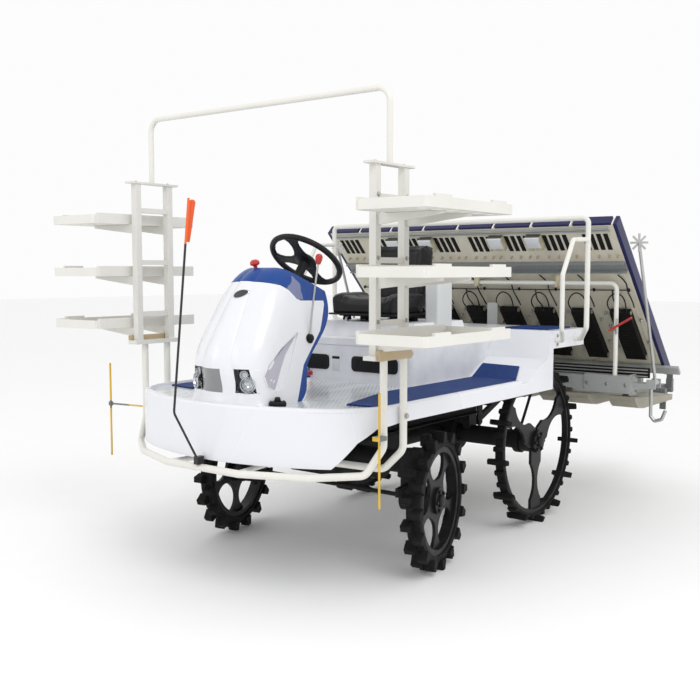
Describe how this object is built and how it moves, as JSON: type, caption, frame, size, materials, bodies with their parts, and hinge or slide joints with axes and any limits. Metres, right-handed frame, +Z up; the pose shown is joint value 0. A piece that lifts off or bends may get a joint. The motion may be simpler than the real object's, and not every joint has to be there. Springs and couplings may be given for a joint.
{
  "type": "rice transplanter",
  "caption": "Riding rice transplanter with steered front wheels, seedling racks, a tilting seat and a raised planting unit on a parallel lift linkage.",
  "frame": {"origin": "on the ground below the middle of the box round the whole machine", "axes": "+X forward, +Y to the machine's left, +Z up"},
  "size_m": [3.5588, 2.2546, 2.1388],
  "materials": {
    "body_white": "gloss paint",
    "frame_grey": "satin paint",
    "cast_grey": "painted casting",
    "engine_dark": "satin paint",
    "deck_grey": "satin paint",
    "mat_blue": "ribbed mat",
    "trim_blue": "gloss",
    "lamp": "clear lens over chrome",
    "black_plastic": "matt",
    "seat_black": "vinyl",
    "tube_white": "gloss paint",
    "shelf_white": "moulded",
    "rod_yellow": "paint",
    "pole_orange": "paint",
    "steel": "bare steel",
    "chrome_rod": "plated",
    "rim_grey": "satin paint",
    "tyre": "rubber",
    "tray_ivory": "moulded",
    "float_beige": "moulded"
  },
  "bodies": {
    "chassis": {"bonnet": "body_white", "bonnet_rear_cover": "trim_blue", "centre_pole": "pole_orange", "chassis_frame": "frame_grey", "control_levers": "black_plastic", "dash_panel": "trim_blue", "deck_mats": "mat_blue", "engine_block": "engine_dark", "front_axle_case": "cast_grey", "front_guard_rail": "tube_white", "headlamp_band": "lamp", "overhead_bar": "tube_white", "rack_frame_left": "tube_white", "rack_frame_right": "tube_white", "rear_axle_case": "cast_grey", "rear_guard_rail": "tube_white", "seat_box": "body_white", "shelves_left": "shelf_white", "shelves_right": "shelf_white", "side_marker_rods": "rod_yellow", "steering_column": "black_plastic", "step_deck": "body_white", "transmission_case": "cast_grey"},
    "seat": {"seat_pan": "frame_grey", "seat_cushion": "seat_black", "seat_back": "seat_black"},
    "steering_wheel": {"steering_wheel": "black_plastic"},
    "knuckle_left": {"knuckle_left": "cast_grey"},
    "knuckle_right": {"knuckle_right": "cast_grey"},
    "tie_rod": {"tie_rod": "steel"},
    "front_wheel_left": {"front_rim_left": "rim_grey", "front_tyre_left": "tyre"},
    "front_wheel_right": {"front_rim_right": "rim_grey", "front_tyre_right": "tyre"},
    "rear_wheel_left": {"rear_rim_left": "rim_grey", "rear_tyre_left": "tyre"},
    "rear_wheel_right": {"rear_rim_right": "rim_grey", "rear_tyre_right": "tyre"},
    "lower_links": {"lower_links": "frame_grey"},
    "upper_link": {"upper_link": "frame_grey"},
    "lift_cylinder": {"cylinder_barrel": "frame_grey"},
    "lift_rod": {"cylinder_rod": "chrome_rod"},
    "planting_unit": {"planting_frame": "cast_grey", "tray_supports": "tube_white", "side_guard_rods": "steel", "floats": "float_beige"},
    "tray": {"seedling_tray": "tray_ivory", "tray_trim": "trim_blue", "feed_belts": "black_plastic"},
    "marker_left": {"marker_arm_left": "steel"},
    "marker_right": {"marker_arm_right": "steel"},
    "rotor_1": {"planting_rotor_1": "cast_grey"},
    "rotor_2": {"planting_rotor_2": "cast_grey"},
    "rotor_3": {"planting_rotor_3": "cast_grey"},
    "rotor_4": {"planting_rotor_4": "cast_grey"}
  },
  "joints": [
    {"name": "seat_tilt", "type": "hinge", "parent": "chassis", "child": "seat", "pos_m": [0.43164, 0, 1.138], "axis": [0, 1, 0], "range_deg": [0, 60]},
    {"name": "steer_left", "type": "hinge", "parent": "chassis", "child": "knuckle_left", "pos_m": [0.76564, 0.5, 0.49], "axis": [0, 0, 1], "range_deg": [-50, 26]},
    {"name": "steer_right", "type": "hinge", "parent": "chassis", "child": "knuckle_right", "pos_m": [0.76564, -0.5, 0.49], "axis": [0, 0, 1], "range_deg": [-50, 26]},
    {"name": "tie_rod_shift", "type": "slide", "parent": "chassis", "child": "tie_rod", "axis": [0, 1, 0], "range_m": [-0.125, 0.066]},
    {"name": "steering_wheel_turn", "type": "hinge", "parent": "chassis", "child": "steering_wheel", "pos_m": [0.93264, 0, 1.441], "axis": [-0.6157, 0, 0.788], "range_deg": [-410, 215]},
    {"name": "front_wheel_left_spin", "type": "hinge", "parent": "knuckle_left", "child": "front_wheel_left", "pos_m": [0.74028, 0.61933, 0.325], "axis": [-0.2079, 0.9781, 0], "continuous": true},
    {"name": "front_wheel_right_spin", "type": "hinge", "parent": "knuckle_right", "child": "front_wheel_right", "pos_m": [0.79101, -0.61933, 0.325], "axis": [-0.2079, 0.9781, 0], "continuous": true},
    {"name": "rear_wheel_left_spin", "type": "hinge", "parent": "chassis", "child": "rear_wheel_left", "pos_m": [-0.33436, 0.59, 0.448], "axis": [0, 1, 0], "continuous": true},
    {"name": "rear_wheel_right_spin", "type": "hinge", "parent": "chassis", "child": "rear_wheel_right", "pos_m": [-0.33436, -0.59, 0.448], "axis": [0, 1, 0], "continuous": true},
    {"name": "lift", "type": "hinge", "parent": "chassis", "child": "lower_links", "pos_m": [-0.44936, 0, 0.505], "axis": [0, 1, 0], "range_deg": [-52, 0]},
    {"name": "upper_link_lift", "type": "hinge", "parent": "chassis", "child": "upper_link", "pos_m": [-0.44936, 0, 0.745], "axis": [0, 1, 0], "range_deg": [-52, 0]},
    {"name": "unit_level", "type": "hinge", "parent": "lower_links", "child": "planting_unit", "pos_m": [-0.86947, 0, 0.66627], "axis": [0, 1, 0], "range_deg": [0, 52]},
    {"name": "lift_cylinder_swing", "type": "hinge", "parent": "chassis", "child": "lift_cylinder", "pos_m": [-0.06436, 0, 0.875], "axis": [0, 1, 0], "range_deg": [-6.5, 0.5]},
    {"name": "lift_rod_stroke", "type": "slide", "parent": "lift_cylinder", "child": "lift_rod", "axis": [-1, 0, 0], "range_m": [0, 0.11]},
    {"name": "tray_shift", "type": "slide", "parent": "planting_unit", "child": "tray", "axis": [0, 1, 0], "range_m": [-0.006, 0.224]},
    {"name": "marker_left_fold", "type": "hinge", "parent": "planting_unit", "child": "marker_left", "pos_m": [-0.93436, 1.04, 0.752], "axis": [-1, 0, 0], "range_deg": [0, 95]},
    {"name": "marker_right_fold", "type": "hinge", "parent": "planting_unit", "child": "marker_right", "pos_m": [-0.93436, -1.04, 0.752], "axis": [1, 0, 0], "range_deg": [0, 95]},
    {"name": "rotor_1_spin", "type": "hinge", "parent": "planting_unit", "child": "rotor_1", "pos_m": [-1.68441, -0.747, 0.61988], "axis": [0, 1, 0], "continuous": true},
    {"name": "rotor_2_spin", "type": "hinge", "parent": "planting_unit", "child": "rotor_2", "pos_m": [-1.68441, -0.249, 0.61988], "axis": [0, 1, 0], "continuous": true},
    {"name": "rotor_3_spin", "type": "hinge", "parent": "planting_unit", "child": "rotor_3", "pos_m": [-1.68441, 0.249, 0.61988], "axis": [0, 1, 0], "continuous": true},
    {"name": "rotor_4_spin", "type": "hinge", "parent": "planting_unit", "child": "rotor_4", "pos_m": [-1.68441, 0.747, 0.61988], "axis": [0, 1, 0], "continuous": true}
  ],
  "couplings": [
    {"joint": "steer_right", "follows": "steer_left", "ratio": 1},
    {"joint": "tie_rod_shift", "follows": "steer_left", "m_per_rad": 0.139},
    {"joint": "steering_wheel_turn", "follows": "steer_left", "ratio": 8},
    {"joint": "upper_link_lift", "follows": "lift", "ratio": 1},
    {"joint": "unit_level", "follows": "lift", "ratio": -1},
    {"joint": "lift_cylinder_swing", "follows": "lift", "ratio": 0.1126},
    {"joint": "lift_rod_stroke", "follows": "lift", "m_per_rad": -0.1157}
  ]
}
